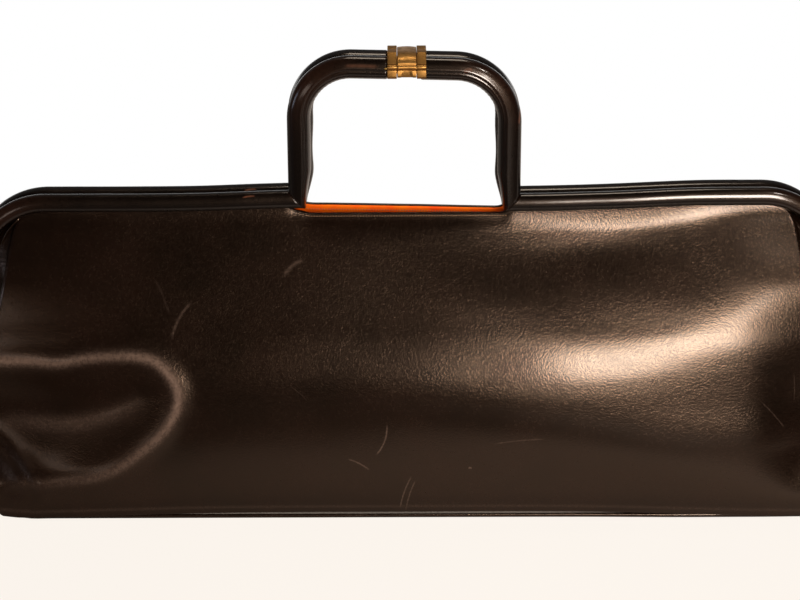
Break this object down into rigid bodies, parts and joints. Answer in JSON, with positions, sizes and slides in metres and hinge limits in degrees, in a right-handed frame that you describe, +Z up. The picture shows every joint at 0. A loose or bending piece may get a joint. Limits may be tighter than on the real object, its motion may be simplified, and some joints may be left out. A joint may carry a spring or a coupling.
{
  "type": "leather handbag",
  "caption": "Long, low leather frame handbag with rod rails that rise into a short handle, closed by a brass lever clasp; the frame halves swing open on side hinges.",
  "frame": {"origin": "middle of the base, on the surface that the bag stands on", "axes": "+X along the bag to its right as seen from the front, +Y towards the back, +Z up"},
  "size_m": [0.4416, 0.0893, 0.2358],
  "materials": {
    "brown_leather": "glossy, fine grain, scuffed",
    "handle_leather": "glossy, worn at the bends",
    "orange_lining": "matt, fine grain",
    "aged_brass": "polished, tarnished in the recesses",
    "frame_steel": "plain drawn rod",
    "grey_board": "plain fibre board"
  },
  "bodies": {
    "body": {"front_panel": "brown_leather", "rear_panel": "brown_leather", "left_gusset": "brown_leather", "right_gusset": "brown_leather", "base_panel": "brown_leather", "base_board": "grey_board", "lining": "orange_lining", "left_hinge_plate": "frame_steel", "right_hinge_plate": "frame_steel", "left_hinge_rivet": "aged_brass", "right_hinge_rivet": "aged_brass"},
    "front_frame": {"front_frame_core": "frame_steel", "front_left_rail_sleeve": "handle_leather", "front_right_rail_sleeve": "handle_leather", "front_left_handle_sleeve": "handle_leather", "front_right_handle_sleeve": "handle_leather", "front_panel_top": "brown_leather", "front_facing": "orange_lining", "clasp_front_left_collar": "aged_brass", "clasp_front_right_collar": "aged_brass", "clasp_pin": "aged_brass"},
    "rear_frame": {"rear_frame_core": "frame_steel", "rear_left_rail_sleeve": "handle_leather", "rear_right_rail_sleeve": "handle_leather", "rear_left_handle_sleeve": "handle_leather", "rear_right_handle_sleeve": "handle_leather", "rear_panel_top": "brown_leather", "rear_facing": "orange_lining", "clasp_rear_left_collar": "aged_brass", "clasp_rear_right_collar": "aged_brass", "clasp_keeper": "aged_brass"},
    "clasp_lever": {"clasp_lever": "aged_brass"}
  },
  "joints": [
    {"name": "front_frame_hinge", "type": "hinge", "parent": "body", "child": "front_frame", "pos_m": [0, 0, 0.106], "axis": [1, 0, 0], "range_deg": [0, 36]},
    {"name": "rear_frame_hinge", "type": "hinge", "parent": "body", "child": "rear_frame", "pos_m": [0, 0, 0.106], "axis": [-1, 0, 0], "range_deg": [0, 36]},
    {"name": "clasp_lever_hinge", "type": "hinge", "parent": "front_frame", "child": "clasp_lever", "pos_m": [0, -0.0128, 0.2293], "axis": [1, 0, 0], "range_deg": [0, 20]}
  ]
}
